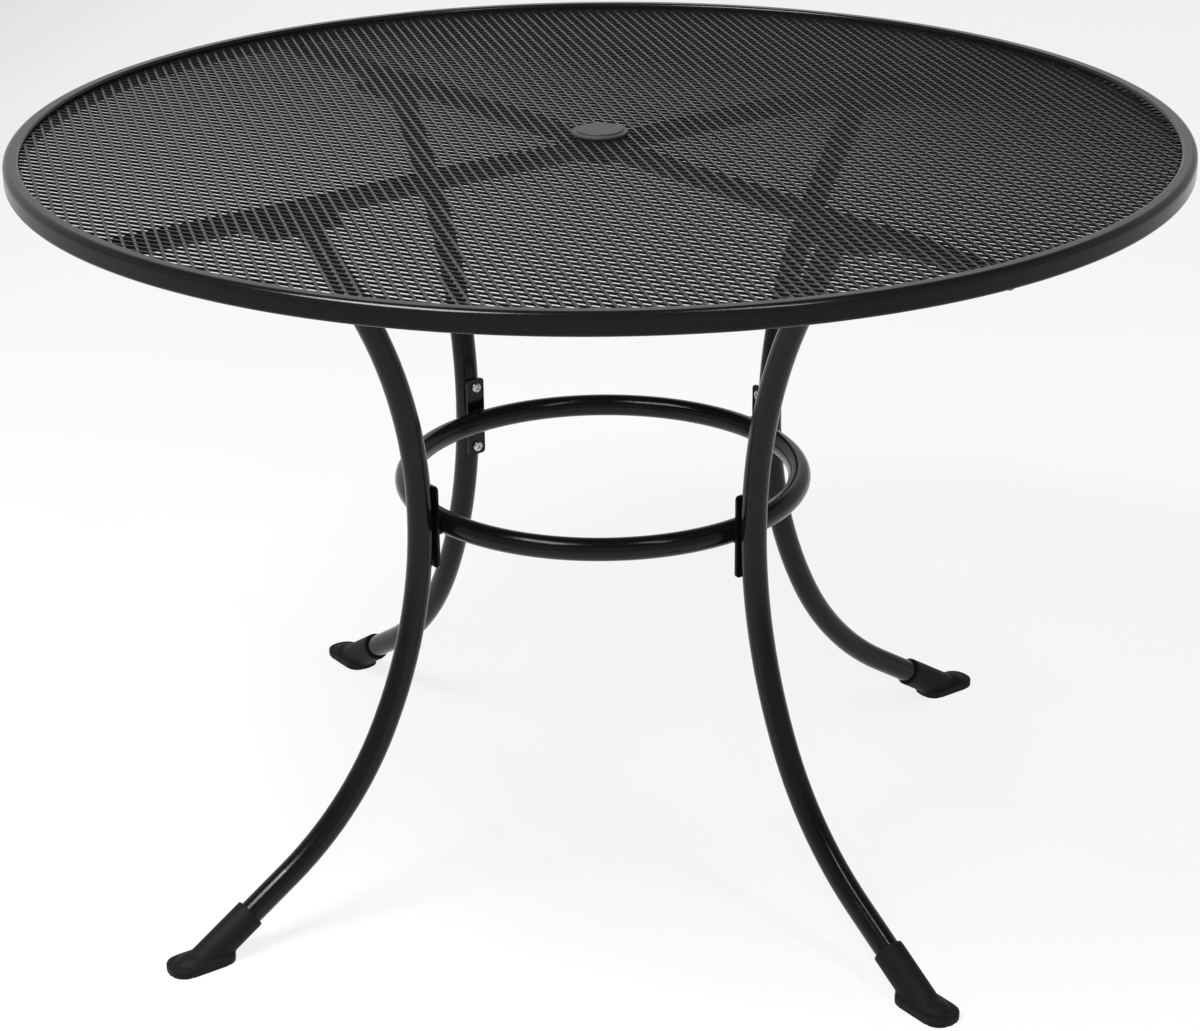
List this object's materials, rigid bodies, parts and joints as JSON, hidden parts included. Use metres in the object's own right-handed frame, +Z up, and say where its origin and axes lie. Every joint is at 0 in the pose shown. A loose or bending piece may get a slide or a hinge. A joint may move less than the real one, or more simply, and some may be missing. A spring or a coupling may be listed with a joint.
{
  "type": "garden table",
  "caption": "Round garden table with a steel rim, an expanded-metal top, bowed tube legs joined by a brace ring, plastic shoes and a lift-out parasol-hole plug.",
  "frame": {"origin": "on the floor under the middle of the top", "axes": "+Z up along the table's axis, -Y towards the viewer's side, legs on the diagonals"},
  "size_m": [1.0998, 1.1, 0.725],
  "materials": {
    "frame_paint": "semi-gloss black powder coat",
    "mesh_paint": "semi-gloss black powder coat, light at grazing angles",
    "plug_plastic": "dark grey moulded plastic",
    "shoe_plastic": "matte black moulded plastic",
    "zinc_screw": "zinc-plated steel"
  },
  "bodies": {
    "table": {"top_rim": "frame_paint", "mesh_top": "mesh_paint", "umbrella_collar": "frame_paint", "brace_ring": "frame_paint", "leg_bolts": "zinc_screw", "bracket_screws": "zinc_screw", "spoke_back_right": "frame_paint", "spoke_back_left": "frame_paint", "spoke_front_left": "frame_paint", "spoke_front_right": "frame_paint", "leg_plate_back_right": "frame_paint", "leg_plate_back_left": "frame_paint", "leg_plate_front_left": "frame_paint", "leg_plate_front_right": "frame_paint", "leg_back_right": "frame_paint", "leg_back_left": "frame_paint", "leg_front_left": "frame_paint", "leg_front_right": "frame_paint", "ring_bracket_back_right": "frame_paint", "ring_bracket_back_left": "frame_paint", "ring_bracket_front_left": "frame_paint", "ring_bracket_front_right": "frame_paint", "shoe_back_right": "shoe_plastic", "shoe_back_left": "shoe_plastic", "shoe_front_left": "shoe_plastic", "shoe_front_right": "shoe_plastic"},
    "plug": {"umbrella_plug": "plug_plastic"}
  },
  "joints": [
    {"name": "plug_lift", "type": "slide", "parent": "table", "child": "plug", "axis": [0, 0, 1], "range_m": [0, 0.08]}
  ]
}
